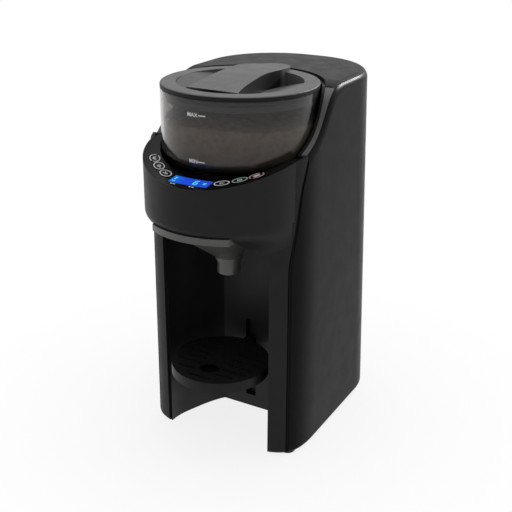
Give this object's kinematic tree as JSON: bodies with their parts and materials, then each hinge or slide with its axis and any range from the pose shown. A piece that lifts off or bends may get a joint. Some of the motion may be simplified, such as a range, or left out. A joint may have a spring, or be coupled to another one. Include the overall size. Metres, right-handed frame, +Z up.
{
  "type": "baby formula maker",
  "caption": "Countertop machine that doses formula powder from a canister, mixes it with warm water and fills a bottle standing on a height-adjustable drip tray.",
  "frame": {"origin": "centre of the footprint, on the surface that the rubber feet stand on", "axes": "+Z up, -Y to the front with the bottle bay and controls, +X to the right for someone who stands in front and looks along +Y"},
  "size_m": [0.176, 0.2743, 0.3705],
  "materials": {
    "fascia_plastic": "fine satin",
    "side_plastic": "fine satin",
    "cover_plastic": "fine satin",
    "bay_plastic": "satin",
    "inner_plastic": "moulded",
    "trim_plastic": "smooth",
    "panel_gloss": "polished",
    "button_plastic": "smooth",
    "display_glass": "tinted, backlit",
    "electronics": "solder mask",
    "canister_clear": "smoky, clear",
    "powder": "fine powder",
    "lid_plastic": "satin",
    "ring_plastic": "satin",
    "seal_rubber": "soft",
    "wheel_plastic": "smooth",
    "gear_plastic": "moulded",
    "motor_steel": "drawn",
    "tank_clear": "clear",
    "funnel_clear": "frosted",
    "tray_plastic": "satin",
    "steel": "brushed",
    "foot_rubber": "soft",
    "pipe_silicone": "soft"
  },
  "bodies": {
    "housing": {"front_fascia": "fascia_plastic", "side_cover": "side_plastic", "base_plate": "inner_plastic", "rubber_feet": "foot_rubber", "housing_screws": "steel", "screw_posts": "inner_plastic", "bay_liner": "bay_plastic", "nest": "fascia_plastic", "wheel_cup": "inner_plastic", "powder_chute": "inner_plastic", "cheek_trim": "trim_plastic", "control_panel": "panel_gloss", "display_lens": "display_glass", "display_module": "electronics", "circuit_board": "electronics", "button_switches": "electronics", "gear_deck": "inner_plastic", "dosing_motor": "motor_steel", "water_pump": "inner_plastic", "water_heater": "steel", "water_pipe": "pipe_silicone", "water_nozzle": "inner_plastic", "tank_socket": "inner_plastic", "power_inlet": "inner_plastic", "inlet_pins": "steel", "tray_rail": "inner_plastic"},
    "canister": {"canister": "canister_clear", "canister_base": "lid_plastic", "canister_floor": "lid_plastic", "powder_fill": "powder"},
    "wheel": {"dosing_wheel": "wheel_plastic", "stirrer": "wheel_plastic"},
    "drive": {"drive_gear": "gear_plastic"},
    "pinion": {"motor_pinion": "steel"},
    "seal": {"lid_seal": "seal_rubber"},
    "lid": {"canister_lid": "lid_plastic", "lid_lock_ring": "ring_plastic"},
    "tank": {"water_tank": "tank_clear"},
    "valve": {"tank_valve": "inner_plastic"},
    "top_cover": {"tank_lid": "cover_plastic"},
    "funnel": {"funnel": "funnel_clear"},
    "tray": {"drip_tray": "tray_plastic"},
    "grille": {"drip_grille": "tray_plastic"},
    "button_start": {"start_button": "button_plastic"},
    "button_stop": {"stop_button": "button_plastic"},
    "button_settings": {"settings_button": "button_plastic"},
    "button_speed": {"speed_button": "button_plastic"},
    "button_temperature": {"temperature_button": "button_plastic"},
    "button_volume": {"volume_button": "button_plastic"}
  },
  "joints": [
    {"name": "canister_lift", "type": "slide", "parent": "housing", "child": "canister", "axis": [0, 0, 1], "range_m": [0, 0.13]},
    {"name": "dosing_wheel_spin", "type": "hinge", "parent": "canister", "child": "wheel", "pos_m": [0, -0.03475, 0.28], "axis": [0, 0, 1], "continuous": true},
    {"name": "drive_gear_spin", "type": "hinge", "parent": "housing", "child": "drive", "pos_m": [0, -0.03475, 0.254], "axis": [0, 0, 1], "continuous": true},
    {"name": "motor_pinion_spin", "type": "hinge", "parent": "housing", "child": "pinion", "pos_m": [0, 0.01425, 0.254], "axis": [0, 0, 1], "continuous": true},
    {"name": "lid_lift", "type": "slide", "parent": "canister", "child": "seal", "axis": [0, 0, 1], "range_m": [0, 0.06]},
    {"name": "lid_twist", "type": "hinge", "parent": "seal", "child": "lid", "pos_m": [0, -0.03475, 0.365], "axis": [0, 0, 1], "range_deg": [0, 25]},
    {"name": "tank_lift", "type": "slide", "parent": "housing", "child": "tank", "axis": [0, 0, 1], "range_m": [0, 0.31]},
    {"name": "valve_lift", "type": "slide", "parent": "tank", "child": "valve", "axis": [0, 0, 1], "range_m": [0, 0.003], "stiffness_N_per_m": 200, "springref_m": -0.002},
    {"name": "top_cover_lift", "type": "slide", "parent": "tank", "child": "top_cover", "axis": [0, 0, 1], "range_m": [0, 0.05]},
    {"name": "funnel_slide", "type": "slide", "parent": "housing", "child": "funnel", "axis": [0, -1, 0], "range_m": [0, 0.1]},
    {"name": "tray_height", "type": "slide", "parent": "housing", "child": "tray", "axis": [0, 0, 1], "range_m": [-0.045, 0.02]},
    {"name": "grille_lift", "type": "slide", "parent": "tray", "child": "grille", "axis": [0, 0, 1], "range_m": [0, 0.04]},
    {"name": "start_press", "type": "slide", "parent": "housing", "child": "button_start", "axis": [0, 0, -1], "range_m": [0, 0.0008], "stiffness_N_per_m": 900, "springref_m": -0.0004},
    {"name": "stop_press", "type": "slide", "parent": "housing", "child": "button_stop", "axis": [0, 0, -1], "range_m": [0, 0.0008], "stiffness_N_per_m": 900, "springref_m": -0.0004},
    {"name": "settings_press", "type": "slide", "parent": "housing", "child": "button_settings", "axis": [0, 0, -1], "range_m": [0, 0.0008], "stiffness_N_per_m": 900, "springref_m": -0.0004},
    {"name": "speed_press", "type": "slide", "parent": "housing", "child": "button_speed", "axis": [0, 0, -1], "range_m": [0, 0.0008], "stiffness_N_per_m": 900, "springref_m": -0.0004},
    {"name": "temperature_press", "type": "slide", "parent": "housing", "child": "button_temperature", "axis": [0, 0, -1], "range_m": [0, 0.0008], "stiffness_N_per_m": 900, "springref_m": -0.0004},
    {"name": "volume_press", "type": "slide", "parent": "housing", "child": "button_volume", "axis": [0, 0, -1], "range_m": [0, 0.0008], "stiffness_N_per_m": 900, "springref_m": -0.0004}
  ],
  "couplings": [
    {"joint": "drive_gear_spin", "follows": "dosing_wheel_spin", "ratio": 1},
    {"joint": "motor_pinion_spin", "follows": "dosing_wheel_spin", "ratio": -1.5789}
  ]
}
